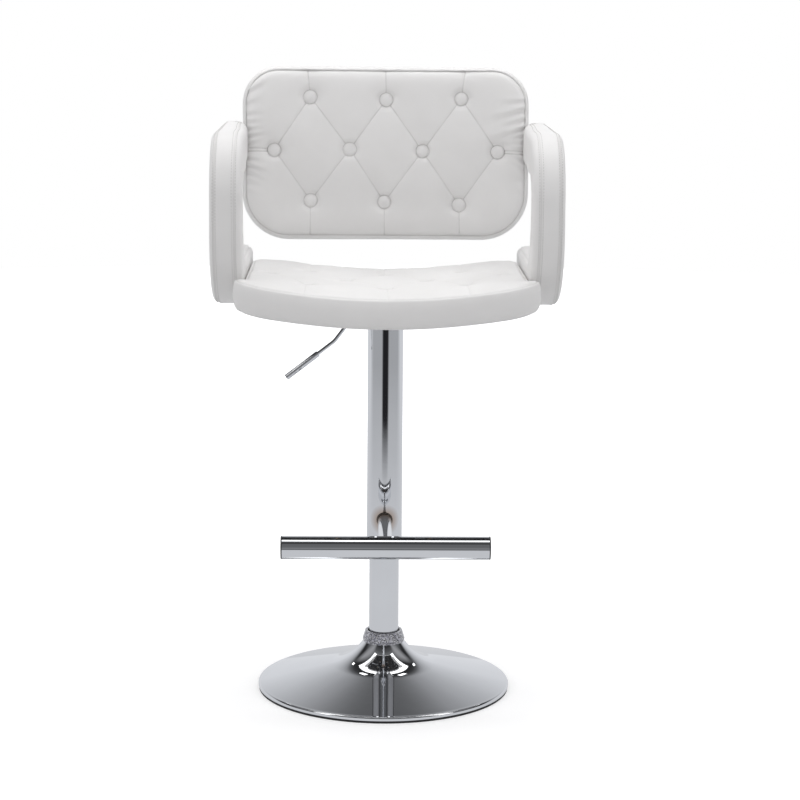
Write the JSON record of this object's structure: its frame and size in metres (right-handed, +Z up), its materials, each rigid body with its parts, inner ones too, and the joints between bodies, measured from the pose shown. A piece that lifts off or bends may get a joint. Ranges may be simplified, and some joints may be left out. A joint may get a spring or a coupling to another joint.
{
  "type": "bar stool",
  "caption": "Height-adjustable swivel bar stool with a tufted padded seat, tufted back, C-shaped padded arms, bar footrest and round trumpet foot.",
  "frame": {"origin": "on the column's axis at floor level", "axes": "+Z up, -Y the way the sitter faces, +X towards the sitter's left"},
  "size_m": [0.542, 0.5116, 1.0018],
  "materials": {
    "white_leather": "satin",
    "chrome_plate": "polished",
    "black_steel": "satin",
    "grey_steel": "matte",
    "zinc_steel": "satin",
    "bright_steel": "polished",
    "black_plastic": "satin",
    "pale_plastic": "satin",
    "clear_acrylic": "gloss",
    "black_rubber": "matte",
    "plywood": "matte",
    "black_cloth": "matte"
  },
  "bodies": {
    "foot": {"base_shell": "chrome_plate", "rubber_rim": "black_rubber", "ballast_plate": "grey_steel", "base_hub": "grey_steel", "column_tube": "chrome_plate", "column_floor": "grey_steel", "collar_ring": "clear_acrylic", "collar_gasket": "black_rubber", "guide_bush": "pale_plastic", "bearing_lower_race": "bright_steel", "bearing_balls": "bright_steel", "bearing_cage": "pale_plastic"},
    "gas_rod": {"piston_rod": "bright_steel", "bearing_upper_race": "bright_steel", "rod_clip": "zinc_steel", "rod_washer": "zinc_steel", "piston": "black_plastic"},
    "seat_unit": {"arm_bolts": "zinc_steel", "arm_frame_left": "black_steel", "arm_frame_right": "black_steel", "arm_nuts": "zinc_steel", "arm_pad_left": "white_leather", "arm_pad_right": "white_leather", "arm_washers": "zinc_steel", "back_board": "plywood", "back_bolts": "zinc_steel", "back_buttons": "white_leather", "back_cover": "white_leather", "back_cushion": "white_leather", "back_nuts": "zinc_steel", "cylinder_socket": "black_steel", "footrest_bar": "chrome_plate", "footrest_cap_left": "chrome_plate", "footrest_cap_right": "chrome_plate", "footrest_stub": "chrome_plate", "gas_cylinder": "black_steel", "lever_pivot_pin": "zinc_steel", "mechanism_bolts": "zinc_steel", "mechanism_housing": "black_steel", "mechanism_nuts": "zinc_steel", "mechanism_plate": "black_steel", "mechanism_washers": "zinc_steel", "rod_guide": "black_plastic", "seat_board": "plywood", "seat_buttons": "white_leather", "seat_cushion": "white_leather", "seat_dust_cover": "black_cloth", "sleeve_bush": "black_plastic", "sleeve_screw": "zinc_steel", "sleeve_spigot": "black_steel", "sleeve_tube": "chrome_plate"},
    "lever": {"lever_rod": "chrome_plate", "lever_grip": "chrome_plate"},
    "valve_pin": {"release_pin": "bright_steel"}
  },
  "joints": [
    {"name": "seat_swivel", "type": "hinge", "parent": "foot", "child": "gas_rod", "pos_m": [0, 0, 0], "axis": [0, 0, 1], "continuous": true},
    {"name": "seat_lift", "type": "slide", "parent": "gas_rod", "child": "seat_unit", "axis": [0, 0, 1], "range_m": [-0.08, 0.13]},
    {"name": "lever_pivot", "type": "hinge", "parent": "seat_unit", "child": "lever", "pos_m": [-0.03, 0, 0.609], "axis": [0, 1, 0], "range_deg": [0, 8], "stiffness_Nm_per_rad": 1.5, "springref_deg": -5.73},
    {"name": "pin_slide", "type": "slide", "parent": "seat_unit", "child": "valve_pin", "axis": [0, 0, -1], "range_m": [0, 0.0045], "stiffness_N_per_m": 2000}
  ],
  "couplings": [
    {"joint": "pin_slide", "follows": "lever_pivot", "m_per_rad": 0.03}
  ]
}
